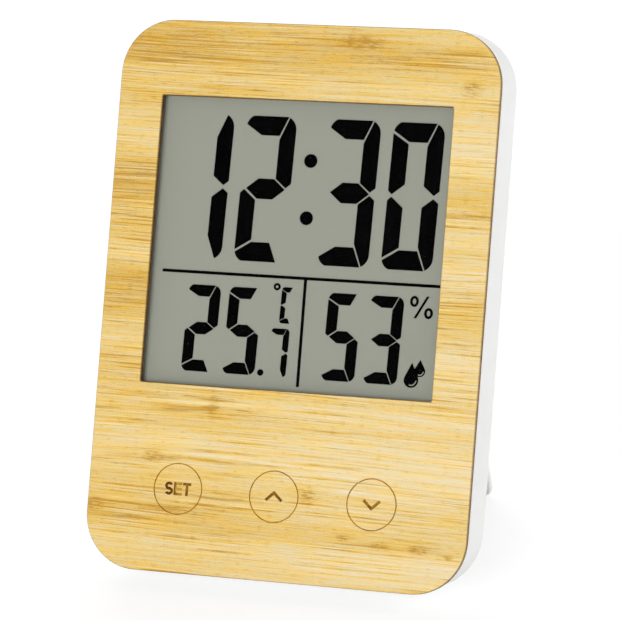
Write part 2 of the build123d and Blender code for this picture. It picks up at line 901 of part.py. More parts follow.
def tab_slots():
    """Slots in the right end wall for the tabs of the two contacts."""
    thick = contact_thickness / 2 + tab_clearance
    wide = contact_tab_width / 2 + tab_clearance
    end = compartment_half + compartment_wall
    front = wire_depth - thick
    back = wire_depth + thick
    slots = [block(compartment_half, end, front, back, z - wide, z + wide) for z in (lower_cell, upper_cell)]
    return slots[0] + slots[1]


def vents():
    x = -(case_half - rear_edge_radius - vent_edge - vent_length / 2)
    back_wall = case_thickness - case_wall
    slots = []
    for index in range(vent_count):
        slot = Pos(x, vent_bottom + index * vent_pitch) * SlotOverall(vent_length, vent_width)
        slots.append(slab(slot, back_wall, case_thickness))
    return slots


def rear_housing():
    outside = sloped_slab(case_outline(housing_corner_radius, 0), frame_front, case_thickness)
    outside = fillet(back_face(outside).edges(), rear_edge_radius)
    cavity = sloped_slab(case_outline(housing_corner_radius, case_wall), frame_front, case_thickness - case_wall)
    cavity = fillet(back_face(cavity).edges(), max(rear_edge_radius - case_wall, window_corner_radius))
    inner = recess_walls() + compartment_walls()
    for x, z in case_screw_places():
        inner += rod_back(post_radius, post_front, case_thickness, x, z)
    housing = outside - cavity + (inner & outside)
    housing -= leg_recess()
    housing -= compartment_space()
    housing -= tab_slots()
    for side in (-1, 1):
        wall = side * recess_half
        end = wall + side * (hinge_pin_length - leg_side_gap + hinge_end_gap)
        housing -= rod_across(hinge_bore_radius, min(wall, end), max(wall, end), hinge_depth, hinge_height)
    for x, z in case_screw_places():
        housing -= rod_back(case_screw_head_room, screw_seat, case_thickness, x, z)
        housing -= rod_back(case_screw_radius + screw_clearance, post_front, screw_seat, x, z)
    for vent in vents():
        housing -= vent
    return housing


def case_screws():
    size = (case_screw_head_radius, case_screw_head_height, case_screw_radius)
    return Compound([screw(*size, screw_seat, case_screw_tip, x, z).solid() for x, z in case_screw_places()])


# Batteries

def cell(direction, height):
    """Cell with its positive nub against the contact at the right for direction 1, at the left for -1."""
    nub_end = direction * cell_end
    shoulder = nub_end - direction * nub_length
    base = nub_end - direction * cell_length
    body = rod_across(cell_radius, min(base, shoulder), max(base, shoulder), cell_depth, height)
    body = fillet(body.edges().filter_by(GeomType.CIRCLE), cell_edge_radius)
    return body + rod_across(nub_radius, min(shoulder, nub_end), max(shoulder, nub_end), cell_depth, height)


def battery_cells():
    return Compound([cell(1, upper_cell).solid(), cell(-1, lower_cell).solid()])


def contact_plate(side, bottom, top):
    """Plate that stands against the end wall of the compartment on one side."""
    wall = side * compartment_half
    face = side * cell_end
    half = contact_height / 2
    return block(min(wall, face), max(wall, face), cell_depth - half, cell_depth + half, bottom, top)


def leaf_spring(side, height):
    """Bent strip from the contact on one side to the flat end of a cell."""
    wall = side * cell_end
    tip = side * (cell_end - spring_room)
    thick = side * contact_thickness
    outer = [(wall, cell_depth - leaf_spread), (tip, cell_depth - leaf_tip), (tip, cell_depth + leaf_tip)]
    outer.append((wall - 2 * thick, cell_depth + leaf_spread))
    inner = [(x + thick, y) for x, y in reversed(outer)]
    strip = make_face(Polyline(*outer, *inner, close=True))
    return Pos(0, 0, height - leaf_width / 2) * extrude(strip, amount=leaf_width, dir=(0, 0, 1))


def contact_tab(height):
    thick = contact_thickness / 2
    wide = contact_tab_width / 2
    end = compartment_half + contact_tab_length
    return block(cell_end, end, wire_depth - thick, wire_depth + thick, height - wide, height + wide)


def positive_contact():
    half = contact_width / 2
    return contact_plate(1, upper_cell - half, upper_cell + half) + contact_tab(upper_cell)


def negative_contact():
    half = contact_width / 2
    plate = contact_plate(1, lower_cell - half, lower_cell + half) + contact_tab(lower_cell)
    return plate + leaf_spring(1, lower_cell)


def linking_contact():
    half = contact_width / 2
    return contact_plate(-1, lower_cell - half, upper_cell + half) + leaf_spring(-1, upper_cell)


def wire(index, start_height):
    """Insulated wire from a contact's tab, down beside the leg recess and onto the back of the board."""
    start = compartment_half + contact_tab_length
    side = recess_half + hinge_side_wall - wire_side_gap + (2 - index) * wire_pitch
    landing_x = board_width / 2 - wire_landing
    landing_z = wire_landing_top - (1 - index) * wire_pitch
    points = [(start, wire_depth, start_height), (side, wire_depth, start_height)]
    points += [(side, wire_depth, landing_z), (landing_x, wire_depth, landing_z), (landing_x, board_back, landing_z)]
    path = FilletPolyline(*points, radius=[wire_bend, wire_bend, wire_end_bend])
    tube = sweep(Plane(origin=path @ 0, z_dir=path % 0) * Circle(wire_radius), path=path)
    return tube


def positive_wire():
    return wire(0, upper_cell)


def negative_wire():
    return wire(1, lower_cell)


def battery_door():
    width = seat_width - 2 * door_clearance
    height = seat_height - 2 * door_clearance
    radius = max(door_corner_radius - door_clearance, door_edge_break)
    door = slab(Pos(0, compartment_middle) * RectangleRounded(width, height, radius), door_front, case_thickness)
    door = chamfer(back_face(door).edges(), door_edge_break)
    first = compartment_middle - door_grip_pitch * (door_grip_count - 1) / 2
    for index in range(door_grip_count):
        groove = Pos(0, first + index * door_grip_pitch) * SlotOverall(door_grip_width, door_grip_bar)
        door -= slab(groove, case_thickness - door_grip_depth, case_thickness)
    rib_z = compartment_top - door_rib_clearance - door_rib_width / 2
    for side in (-1, 1):
        rib_place = Pos(side * compartment_half / 2, compartment_middle + side * (rib_z - compartment_middle))
        door += slab(rib_place * Rectangle(door_rib_length, door_rib_width), door_front - door_rib_height, door_front)
    return door


# Stand leg

def stand_leg():
    """Leg drawn folded into the back, then swung open about its hinge."""
    half = leg_width / 2
    top = hinge_height + leg_heel
    outline = Pos(0, (top + leg_end) / 2) * RectangleRounded(leg_width, top - leg_end, leg_corner_radius)
    notch_height = leg_end + finger_notch_depth - finger_notch_radius
    outline -= Pos(0, notch_height) * Circle(finger_notch_radius)
    leg = slab(outline, leg_front, leg_back)
    leg = fillet(front_face(leg).edges() + back_face(leg).edges(), leg_edge_radius)
    panel_bottom = leg_end + leg_panel_border
    panel_top = hinge_height - leg_panel_border
    panel = RectangleRounded(leg_width - 2 * leg_panel_border, panel_top - panel_bottom, leg_panel_radius)
    leg -= slab(Pos(0, (panel_top + panel_bottom) / 2) * panel, leg_back - leg_panel_depth, leg_back)
    leg += rod_across(hinge_barrel_radius, -half, half, hinge_depth, hinge_height)
    leg += rod_across(hinge_pin_radius, -half - hinge_pin_length, half + hinge_pin_length, hinge_depth, hinge_height)
    return leg.rotate(Axis((0, hinge_depth, hinge_height), (1, 0, 0)), leg_open_angle)


# Assembly

makers = [
    bamboo_front_panel, panel_adhesive, window_gasket, front_frame,
    lcd_front_glass, lcd_edge_seal, lcd_rear_glass, lcd_reflector,
    lcd_time_digits, lcd_temperature_digits, lcd_humidity_digits, lcd_divider_lines,
    display_retainer, retainer_screws, display_ribbon,
    main_board, controller_chip, quartz_crystal, climate_sensor, board_capacitors, board_screws,
    touch_pads, touch_pillars,
    rear_housing, case_screws,
    battery_cells, positive_contact, negative_contact, linking_contact, positive_wire, negative_wire,
    battery_door, stand_leg,
]


def leaned(piece):
    """Piece turned about the lower front edge by the lean, and lowered so that the table is at Z = 0."""
    return Pos(0, 0, -table_drop) * Rot(-degrees(lean), 0, 0) * piece


def below_table():
    size = table_factor * max(case_width, case_height)
    return Pos(0, 0, -size / 2) * Box(size, size, size)


def main():
    pieces = {maker.__name__: leaned(maker()) for maker in makers}
    for name in ("rear_housing", "stand_leg"):
        pieces[name] = pieces[name] - below_table()
    boxes = [piece.bounding_box() for piece in pieces.values()]
    middle_y = (min(box.min.Y for box in boxes) + max(box.max.Y for box in boxes)) / 2
    os.makedirs("parts", exist_ok=True)
    for name, piece in pieces.items():
        export_step(Pos(0, -middle_y, 0) * piece, f"parts/{name}.step")
    print("thickness", round(case_thickness, 3), "lean", round(degrees(lean), 3))
    print("depth of the lower front edge", round(-middle_y, 4), "table drop", round(table_drop, 4))
    hinge_y = hinge_height * sin(lean) + hinge_depth * cos(lean) - middle_y
    hinge_z = hinge_height * cos(lean) - hinge_depth * sin(lean) - table_drop
    print("hinge at", round(hinge_y, 4), round(hinge_z, 4))
    edge_y = edge_height * sin(lean) + edge_depth * cos(lean) - middle_y
    print("foot of the case at", round(edge_y, 4))


main()
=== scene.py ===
"""Looks of a bamboo-fronted thermometer hygrometer clock: materials, floor, light and camera.

The scene is in metres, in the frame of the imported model. Patterns in the materials are laid out in
millimetres along the case's own axes: across the front, back from its face, and up from its lower edge.
"""

import json
import math

import bpy
from mathutils import Matrix, Vector

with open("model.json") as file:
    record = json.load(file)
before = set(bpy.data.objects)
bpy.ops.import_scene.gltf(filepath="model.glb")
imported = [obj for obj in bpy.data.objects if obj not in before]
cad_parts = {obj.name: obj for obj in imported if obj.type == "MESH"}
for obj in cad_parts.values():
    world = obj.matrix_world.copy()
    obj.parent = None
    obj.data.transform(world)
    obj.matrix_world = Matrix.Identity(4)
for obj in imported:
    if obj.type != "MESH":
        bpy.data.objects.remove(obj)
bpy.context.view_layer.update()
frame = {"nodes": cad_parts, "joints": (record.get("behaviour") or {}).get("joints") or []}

nodes = frame["nodes"]
mm = 0.001

# Axes of the leaning case, from the battery door, which slides straight out of the back

door_slide = next(joint for joint in frame["joints"] if joint["name"] == "battery_door_lift")
across_axis = Vector((1, 0, 0))
back_axis = Vector(door_slide["axis"]).normalized()
up_axis = across_axis.cross(back_axis)
lean = math.atan2(-back_axis.z, back_axis.y)


def reach(node, axis):
    """Lowest and highest place of a CAD node along an axis."""
    places = [axis.dot(vertex.co) for vertex in nodes[node].data.vertices]
    return min(places), max(places)


face_depth = reach("bamboo_front_panel", back_axis)[0]
low_edge, high_edge = reach("bamboo_front_panel", up_axis)
panel_height = (high_edge - low_edge) / mm
panel_half_width = reach("bamboo_front_panel", across_axis)[1] / mm


def case_point(across, back, up):
    """Point of the scene at a place of the case, in metres from the middle of the face's lower edge."""
    return across * across_axis + (face_depth + back) * back_axis + (low_edge + up) * up_axis


def case_direction(across, back, up):
    """Direction in the scene of a direction in the case's axes."""
    return (across * across_axis + back * back_axis + up * up_axis).normalized()


# Colours are written as they look on a screen, from 0 to 255

def colour(red, green, blue):
    """Linear colour of a screen colour."""
    linear = []
    for level in (red, green, blue):
        share = level / 255
        linear.append(share / 12.92 if share <= 0.04045 else ((share + 0.055) / 1.055) ** 2.4)
    return (*linear, 1.0)


def grey(level):
    """Ramp stop that stands for a plain number."""
    return (level, level, level, 1.0)


class Surface:
    """A material with one Principled shader, and short ways to add the nodes that feed it."""

    def __init__(self, name, **plain_values):
        self.material = bpy.data.materials.new(name)
        self.material.use_nodes = True
        self.tree = self.material.node_tree
        self.shader = self.tree.nodes["Principled BSDF"]
        for socket_name, value in plain_values.items():
            self.feed(socket_name.replace("_", " "), value)

    def link(self, socket, value):
        """Links a socket, or sets it to a plain value."""
        if isinstance(value, bpy.types.NodeSocket):
            self.tree.links.new(value, socket)
        else:
            socket.default_value = value

    def feed(self, socket_name, value):
        """Gives a value to a socket of the shader."""
        self.link(self.shader.inputs[socket_name], value)

    def add(self, kind, inputs, **settings):
        """Adds a node with its settings and its inputs, by name or number."""
        made = self.tree.nodes.new("ShaderNode" + kind)
        for setting, value in settings.items():
            setattr(made, setting, value)
        for key, value in inputs.items():
            self.link(made.inputs[key], value)
        return made

    def case_place(self):
        """Place in millimetres in the case's axes."""
        inputs = {
            "Vector": self.add("TexCoord", {}).outputs["Object"],
            "Location": (0, -face_depth / mm, -low_edge / mm),
            "Rotation": (lean, 0, 0),
            "Scale": (1 / mm, 1 / mm, 1 / mm),
        }
        return self.add("Mapping", inputs).outputs[0]

    def parts(self, place):
        """The three numbers of a place: across, back and up."""
        return self.add("SeparateXYZ", {0: place}).outputs

    def facing(self, axis):
        """How far the surface faces along an axis, from -1 to 1."""
        normal = self.add("TexCoord", {}).outputs["Normal"]
        return self.add("VectorMath", {0: normal, 1: axis}, operation="DOT_PRODUCT").outputs[1]

    def math(self, operation, first, second=0.0):
        """A sum or other operation on two numbers."""
        return self.add("Math", {0: first, 1: second}, operation=operation).outputs[0]

    def total(self, first, *others):
        """Sum of several numbers."""
        for other in others:
            first = self.math("ADD", first, other)
        return first

    def span(self, value, start, end, low=0.0, high=1.0):
        """A number from start to end turned into low to high, and held there past both ends."""
        inputs = {"Value": value, "From Min": start, "From Max": end, "To Min": low, "To Max": high}
        return self.add("MapRange", inputs, interpolation_type="SMOOTHSTEP").outputs[0]

    def noise(self, place, per_mm, detail=4.0, roughness=0.55):
        """Noise round 0.5, with a number of features to the millimetre along each axis."""
        scaled = self.add("VectorMath", {0: place, 1: per_mm}, operation="MULTIPLY").outputs[0]
        inputs = {"Vector": scaled, "Scale": 1.0, "Detail": detail, "Roughness": roughness}
        return self.add("TexNoise", inputs).outputs[0]

    def mix(self, share, first, second):
        """Blend of two colours."""
        return self.add("Mix", {0: share, 6: first, 7: second}, data_type="RGBA").outputs[2]

    def ramp(self, value, stops):
        """Colour that follows a number from 0 to 1 through (number, colour) stops."""
        made = self.add("ValToRGB", {0: value})
        band = made.color_ramp.elements
        band.remove(band[1])
        band[0].position, band[0].color = stops[0]
        for number, stop_colour in stops[1:]:
            band.new(number).color = stop_colour
        return made.outputs[0]

    def ellipse(self, offset, half_width, half_height):
        """Distance from the middle of an upright ellipse, 1 at its edge."""
        scale = (1 / half_width, 0.0, 1 / half_height)
        scaled = self.add("VectorMath", {0: offset, 1: scale}, operation="MULTIPLY").outputs[0]
        return self.add("VectorMath", {0: scaled}, operation="LENGTH").outputs[1]

    def bump(self, height, depth):
        """Raises the surface with a number from 0 to 1, by a depth in millimetres."""
        inputs = {"Height": height, "Strength": 1.0, "Distance": depth * mm}
        self.feed("Normal", self.add("Bump", inputs).outputs[0])

    def dress(self, *names):
        """Puts the material on CAD nodes."""
        for name in names:
            for slot in nodes[name].material_slots:
                slot.material = self.material


# Bamboo front

# Height up the face in millimetres, and the tone of the strip there from pale 0 to golden 1
strip_tones = (
    (0, 0.40), (5, 0.30), (8, 0.34), (10, 0.56), (15, 0.48), (20, 0.42), (26, 0.26), (31, 0.32),
    (35, 0.46), (39, 0.32), (42, 0.52), (51, 0.32), (55, 0.44), (60, 0.64), (65, 0.66), (71, 0.30),
    (76, 0.50), (79, 0.38), (84, 0.66), (90, 0.62), (94, 0.38), (99, 0.28), (108, 0.48), (112, 0.40),
    (116, 0.66), (120, 0.68), (125, 0.48),
)

# Tone of the wood and its colour there
wood_shades = (
    (0.0, (251, 230, 184)), (0.25, (246, 220, 160)), (0.50, (238, 205, 126)), (0.75, (226, 185, 94)),
    (1.0, (198, 152, 66)),
)

# How far the colour of a bundle leans from these towards yellow or away from it
yellow_lean = (3.0, -1.5, -13.0)

# Fall of the grain towards the right, as a slope
grain_fall = 0.018

# Patterns of the wood, in features to the millimetre along the grain, in depth and across it
bundle_counts = ((0.020, 0.3, 2.0), (0.028, 0.4, 2.9), (0.040, 0.5, 4.2))
drift_count = (0.014, 0.0, 0.05)
calm_count = (0.022, 0.0, 0.13)
fading_count = (0.10, 0.2, 1.4)
pore_count = (0.45, 0.5, 5.0)
grit_count = (3.2, 3.2, 3.2)
warmth_count = (0.09, 0.3, 0.95)
fleck_count = (0.5, 0.4, 2.4)
soot_count = (0.55, 0.55, 0.55)

# How far the grain wanders to each side, in millimetres
drift_reach = 0.5

# Window in the face: half its width, and the heights of its lower and upper edge
window_half_width = 34.55
window_low = 42.55
window_high = 107.8

# Marks where the stalk had its joints: place across and up the face, and half width and height
stalk_joints = (
    (12.4, 121.5, 5.4, 2.2), (38.5, 111.8, 2.8, 2.2), (-16.4, 38.4, 1.5, 2.6), (-30.0, 26.0, 2.6, 1.8),
    (7.4, 19.7, 2.0, 2.6), (16.5, 11.3, 1.8, 1.0), (25.5, 10.1, 2.4, 1.1), (34.1, 9.7, 2.6, 1.3),
    (41.1, 8.7, 1.8, 0.7), (-43.4, 14.2, 2.4, 2.0),
)

# Engraved keys: height of their row, its shift to the right, its pitch, and the reach of rings and marks
key_height = 18.95
key_row_shift = -0.39
key_pitch = 22.95
ring_reach = 6.3
mark_reach = 4.5

# How lightly the laser burnt each letter and arrow, by its place across the face
mark_burns = (
    (-25.6, 0.0), (-24.6, 0.15), (-23.9, 0.68), (-22.5, 0.72), (-21.8, 0.48), (-12.0, 0.41), (12.0, 0.41),
    (20.0, 0.52), (30.0, 0.52),
)


def bamboo():
    """Pressed bamboo strips with thin golden bundles and joint marks, scorched where the laser cut."""
    surface = Surface("bamboo", Specular_IOR_Level=0.15)
    place = surface.case_place()
    across, back, up = surface.parts(place)

    # The grain falls to the right and wanders a little
    drift = surface.noise(place, drift_count, detail=0.0)
    fall = surface.math("MULTIPLY", across, grain_fall)
    level = surface.total(up, fall, surface.span(drift, 0.2, 0.8, -drift_reach, drift_reach))
    grain_place = surface.add("CombineXYZ", {0: across, 1: back, 2: level}).outputs[0]

    heights = [(height / panel_height, grey(tone)) for height, tone in strip_tones]
    strip = surface.ramp(surface.math("DIVIDE", level, panel_height), heights)
    side = surface.span(across, -panel_half_width, panel_half_width, 0.10, -0.10)
    bundles = [surface.noise(grain_place, count, detail=0.0) for count in bundle_counts]
    streaks = 0.0
    for bundle in bundles:
        pale = surface.span(bundle, 0.44, 0.34, 0.0, -0.14)
        golden = surface.span(bundle, 0.56, 0.61, 0.0, 0.14)
        core = surface.span(bundle, 0.65, 0.69, 0.0, 0.20)
        streaks = surface.total(streaks, pale, golden, core)
    calm = surface.noise(grain_place, calm_count, detail=1.0)
    fading = surface.noise(grain_place, fading_count, detail=1.0)
    streaks = surface.math("MULTIPLY", streaks, surface.span(calm, 0.40, 0.56, 0.40, 1.0))
    streaks = surface.math("MULTIPLY", streaks, surface.span(fading, 0.36, 0.60, 0.25, 1.15))
    pores = surface.span(surface.noise(grain_place, pore_count, detail=0.0), 0.62, 0.72, 0.0, 0.20)
    grit = surface.span(surface.noise(place, grit_count, detail=1.0), 0.3, 0.7, -0.07, 0.07)
    tone = surface.total(strip, side, streaks, pores, grit, joint_marks(surface, place))
    warmth = surface.noise(grain_place, warmth_count, detail=1.0)
    yellow_share = surface.span(warmth, 0.35, 0.65)
    wood = surface.mix(yellow_share, wood_ramp(surface, tone, -1), wood_ramp(surface, tone, 1))

    # The laser scorches the cut walls of the outer edge and the window, and the engraving; the face is
    # darker brown in a thin band along the window's edge
    soot = surface.noise(place, soot_count, detail=3.0)
    front = surface.math("ABSOLUTE", surface.facing(back_axis))
    burnt_wall = surface.ramp(soot, ((0.3, colour(86, 58, 30)), (0.7, colour(128, 92, 50))))
    edged = surface.mix(window_edge_darkening(surface, across, up, soot), wood, colour(112, 80, 38))
    turned_away = surface.span(front, 0.95, 0.72)
    burn_by_depth = surface.span(back, 0.10, 0.55, 0.6, 1.0)
    edges = surface.mix(surface.math("MULTIPLY", turned_away, burn_by_depth), edged, burnt_wall)
    surface.feed("Base Color", engraved_keys(surface, edges, soot, across, back, up))
    surface.feed("Roughness", surface.span(bundles[1], 0.3, 0.7, 0.56, 0.70))
    surface.bump(surface.math("ADD", bundles[0], bundles[1]), 0.010)
    surface.dress("bamboo_front_panel")


def wood_ramp(surface, tone, way):
    """Colour of the wood by its tone, leaning to cream for way -1 and to yellow for way 1."""
    stops = []
    for number, shade in wood_shades:
        leaning = [level + way * lean for level, lean in zip(shade, yellow_lean)]
        stops.append((number, colour(*leaning)))
    return surface.ramp(tone, stops)


def window_edge_darkening(surface, across, up, soot):
    """Share of darker brown on the face in a thin band beside the window, stronger along its lower and
    upper edge.
    """
    middle = (window_low + window_high) / 2
    beside = surface.math("SUBTRACT", surface.math("ABSOLUTE", across), window_half_width)
    above = surface.math("ABSOLUTE", surface.math("SUBTRACT", up, middle))
    above = surface.math("SUBTRACT", above, (window_high - window_low) / 2)
    distance = surface.math("MAXIMUM", beside, above)
    level_edge = surface.math("GREATER_THAN", above, beside)
    strength = surface.span(level_edge, 0.0, 1.0, 0.15, 0.80)
    uneven = surface.span(soot, 0.3, 0.6, 0.35, 1.0)
    near = surface.span(distance, 0.26, 0.06)
    return surface.math("MULTIPLY", near, surface.math("MULTIPLY", strength, uneven))


def engraved_keys(surface, face, soot, across, back, up):
    """Colour of the face with the engraved rings in light brown and the marks in them burnt darker."""
    from_row = surface.math("SUBTRACT", across, key_row_shift)
    wrapped = {0: from_row, 1: key_pitch / 2, 2: -key_pitch / 2}
    from_key = surface.add("Math", wrapped, operation="WRAP").outputs[0]
    above_key = surface.math("SUBTRACT", up, key_height)
    offset = surface.add("CombineXYZ", {0: from_key, 2: above_key}).outputs[0]
    distance = surface.add("VectorMath", {0: offset}, operation="LENGTH").outputs[1]
    row_end = 1.5 * key_pitch
    in_row = surface.span(surface.math("ABSOLUTE", from_row), row_end, row_end - 0.1)
    in_key = surface.span(distance, ring_reach, ring_reach - 0.1)
    in_mark = surface.span(distance, mark_reach, mark_reach - 0.1)
    below_face = surface.span(back, 0.02, 0.06)
    engraved = surface.math("MULTIPLY", below_face, surface.math("MULTIPLY", in_row, in_key))

    first, last = mark_burns[0][0], mark_burns[-1][0]
    along_row = surface.math("DIVIDE", surface.math("SUBTRACT", across, first), last - first)
    burns = [((place - first) / (last - first), grey(burn)) for place, burn in mark_burns]
    burn = surface.total(surface.ramp(along_row, burns), surface.span(soot, 0.3, 0.7, -0.15, 0.15))
    mark_colour = surface.ramp(burn, (
        (0.0, colour(100, 56, 0)), (0.45, colour(132, 84, 4)), (1.0, colour(236, 186, 62)),
    ))
    ring_colour = surface.ramp(soot, ((0.35, colour(174, 122, 8)), (0.65, colour(210, 160, 38))))
    return surface.mix(engraved, face, surface.mix(in_mark, ring_colour, mark_colour))


def joint_marks(surface, place):
    """Tone of the joint marks: short flecks along the grain, and a golden haze on both sides."""
    swirl_count = 0.7
    swirl_mean = 0.5
    swirl = surface.add("TexNoise", {"Vector": place, "Scale": swirl_count}).outputs[1]
    ragged = surface.add("VectorMath", {0: place, 1: swirl}, operation="ADD").outputs[0]
    flecks = surface.noise(place, fleck_count, detail=3.0)
    core = 0.0
    haze = 0.0
    for across, up, half_width, half_height in stalk_joints:
        middle = (across + swirl_mean, swirl_mean, up + swirl_mean)
        offset = surface.add("VectorMath", {0: ragged, 1: middle}, operation="SUBTRACT").outputs[0]
        near = surface.ellipse(offset, half_width, half_height)
        core = surface.math("MAXIMUM", core, surface.span(near, 1.3, 0.2))
        far = surface.ellipse(offset, half_width * 3.0, half_height * 1.2)
        haze = surface.math("MAXIMUM", haze, surface.span(far, 1.0, 0.2))
    fleck_tone = surface.math("MULTIPLY", core, surface.span(flecks, 0.42, 0.62, 0.08, 0.50))
    return surface.math("ADD", fleck_tone, surface.math("MULTIPLY", haze, 0.10))


# Moulded plastics

def moulded_plastic(name, shade, names, grain=2.2, gloss=0.45, depth=0.0):
    """Plastic with a mould's fine grain and faint clouds. Light seeps into it to a depth in millimetres."""
    surface = Surface(name, Specular_IOR_Level=0.45)
    if depth:
        surface.feed("Subsurface Weight", 0.5)
        surface.feed("Subsurface Radius", (1.0, 1.0, 1.0))
        surface.feed("Subsurface Scale", depth * mm)
    place = surface.case_place()
    clouds = surface.noise(place, (0.05, 0.05, 0.05), detail=2.0)
    sparks = surface.noise(place, (grain, grain, grain), detail=3.0)
    pale = colour(*shade)
    cloud_shade = 0.985
    deep = colour(*(level * cloud_shade for level in shade))
    surface.feed("Base Color", surface.ramp(clouds, ((0.35, deep), (0.65, pale))))
    surface.feed("Roughness", surface.span(sparks, 0.3, 0.7, gloss - 0.05, gloss + 0.07))
    surface.bump(sparks, 0.004)
    surface.dress(*names)


# Display

def display_glass():
    """Thin clear plate with a soft matt finish, which dims what is behind it a little."""
    surface = Surface("display_glass", Alpha=0.02, Specular_IOR_Level=0.3)
    haze = surface.noise(surface.case_place(), (0.8, 0.8, 0.8), detail=2.0)
    surface.feed("Base Color", surface.ramp(haze, ((0.3, colour(12, 13, 12)), (0.7, colour(20, 21, 19)))))
    surface.feed("Roughness", surface.span(haze, 0.3, 0.7, 0.28, 0.36))
    surface.dress("lcd_front_glass")


def display_ground():
    """Grey-green ground of the display: the rear glass with its film and the reflector bonded behind it."""
    surface = Surface("display_ground", Specular_IOR_Level=0.2)
    flakes = surface.noise(surface.case_place(), (6.0, 6.0, 6.0), detail=2.0)
    shades = ((0.3, colour(158, 160, 147)), (0.7, colour(163, 165, 152)))
    surface.feed("Base Color", surface.ramp(flakes, shades))
    surface.feed("Roughness", surface.span(flakes, 0.3, 0.7, 0.55, 0.7))
    surface.dress("lcd_rear_glass", "lcd_reflector")


def display_marks():
    """Black of the switched-on segments, barely uneven."""
    surface = Surface("display_marks", Specular_IOR_Level=0.0)
    tint = surface.noise(surface.case_place(), (0.3, 0.3, 0.3), detail=2.0)
    surface.feed("Base Color", surface.ramp(tint, ((0.3, colour(0, 0, 0)), (0.7, colour(3, 3, 3)))))
    surface.feed("Roughness", surface.span(tint, 0.3, 0.7, 0.55, 0.65))
    surface.dress("lcd_time_digits", "lcd_temperature_digits", "lcd_humidity_digits", "lcd_divider_lines")


# Parts inside the case

def soft_sheet(name, shade, names, cell=1.2, depth=0.05):
    """Foam, rubber or film with small cells in its skin."""
    surface = Surface(name, Specular_IOR_Level=0.25)
    place = surface.case_place()
    scaled = surface.add("VectorMath", {0: place, "Scale": cell}, operation="SCALE").outputs[0]
    cells = surface.add("TexVoronoi", {"Vector": scaled, "Scale": 1.0}).outputs["Distance"]
    cell_shade = 0.78
    dark = colour(*(level * cell_shade for level in shade))
    surface.feed("Base Color", surface.ramp(cells, ((0.1, dark), (0.6, colour(*shade)))))
    surface.feed("Roughness", surface.span(cells, 0.0, 0.8, 0.62, 0.82))
    surface.bump(cells, depth)
    surface.dress(*names)


def worked_metal(name, shade, names, grain=(0.2, 1.6, 1.6), gloss=0.28):
    """Drawn or pressed metal with fine lines along the case and a little tarnish."""
    surface = Surface(name, Metallic=1.0)
    place = surface.case_place()
    lines = surface.noise(place, grain, detail=4.0)
    tarnish = surface.noise(place, (0.25, 0.25, 0.25), detail=3.0)
    tarnish_shade = 0.8
    dull = colour(*(level * tarnish_shade for level in shade))
    surface.feed("Base Color", surface.ramp(tarnish, ((0.35, dull), (0.6, colour(*shade)))))
    surface.feed("Roughness", surface.span(lines, 0.3, 0.7, gloss - 0.08, gloss + 0.12))
    surface.bump(lines, 0.006)
    surface.dress(*names)


def circuit_board():
    """Green solder mask with copper tracks that show through it as paler lines."""
    surface = Surface("board", Specular_IOR_Level=0.5)
    place = surface.case_place()
    numbers = surface.parts(place)
    across, up = numbers[0], numbers[2]
    track_pitch = 1.6
    bands = surface.noise(place, (0.10, 0.1, 0.10), detail=0.0)
    swerve = surface.math("ADD", across, surface.span(bands, 0.3, 0.7, -4.0, 4.0))
    lane = surface.math("PINGPONG", surface.math("ADD", swerve, up), track_pitch / 2)
    tracks = surface.span(lane, 0.22, 0.30)
    weave = surface.noise(place, (1.5, 1.5, 1.5), detail=3.0)
    mask = surface.ramp(weave, ((0.3, colour(16, 78, 48)), (0.7, colour(22, 92, 56))))
    surface.feed("Base Color", surface.mix(tracks, colour(46, 122, 72), mask))
    surface.feed("Roughness", surface.span(weave, 0.3, 0.7, 0.3, 0.42))
    surface.bump(surface.math("SUBTRACT", 1.0, tracks), 0.02)
    surface.dress("main_board")


def ribbon_film():
    """Pale film with a row of dark printed conductors."""
    surface = Surface("ribbon_film", Specular_IOR_Level=0.4)
    place = surface.case_place()
    across = surface.parts(place)[0]
    conductor_pitch = 0.9
    lane = surface.math("PINGPONG", across, conductor_pitch / 2)
    gaps = surface.span(lane, 0.18, 0.26)
    wear = surface.noise(place, (0.7, 0.7, 0.7), detail=3.0)
    film = surface.ramp(wear, ((0.3, colour(206, 198, 176)), (0.7, colour(222, 215, 194))))
    surface.feed("Base Color", surface.mix(gaps, colour(40, 38, 36), film))
    surface.feed("Roughness", surface.span(wear, 0.3, 0.7, 0.34, 0.48))
    surface.dress("display_ribbon")


def battery_cells():
    """Plain wrapped cells: dark sleeve, a golden collar at one end and bare metal ends."""
    surface = Surface("cell_wrap", Specular_IOR_Level=0.5)
    place = surface.case_place()
    numbers = surface.parts(place)
    across, up = numbers[0], numbers[2]
    cell_low, cell_high = reach("battery_cells", up_axis)
    middle = (cell_low + cell_high) / 2 / mm - low_edge / mm
    upper = surface.span(up, middle - 0.01, middle + 0.01, -1.0, 1.0)
    along = surface.math("MULTIPLY", across, upper)
    collar_start = 12.0
    collar = surface.span(along, collar_start, collar_start + 0.15)
    scuffs = surface.noise(place, (0.5, 1.4, 1.4), detail=4.0)
    sleeve = surface.ramp(scuffs, ((0.3, colour(44, 47, 52)), (0.7, colour(58, 61, 66))))
    gold = surface.ramp(scuffs, ((0.3, colour(176, 134, 74)), (0.7, colour(200, 158, 92))))
    ends = surface.span(surface.math("ABSOLUTE", surface.facing(across_axis)), 0.7, 0.9)
    metal = surface.ramp(scuffs, ((0.3, colour(168, 168, 166)), (0.7, colour(206, 206, 202))))
    surface.feed("Base Color", surface.mix(ends, surface.mix(collar, sleeve, gold), metal))
    surface.feed("Metallic", ends)
    surface.feed("Roughness", surface.span(scuffs, 0.3, 0.7, 0.26, 0.4))
    surface.bump(scuffs, 0.008)
    surface.dress("battery_cells")


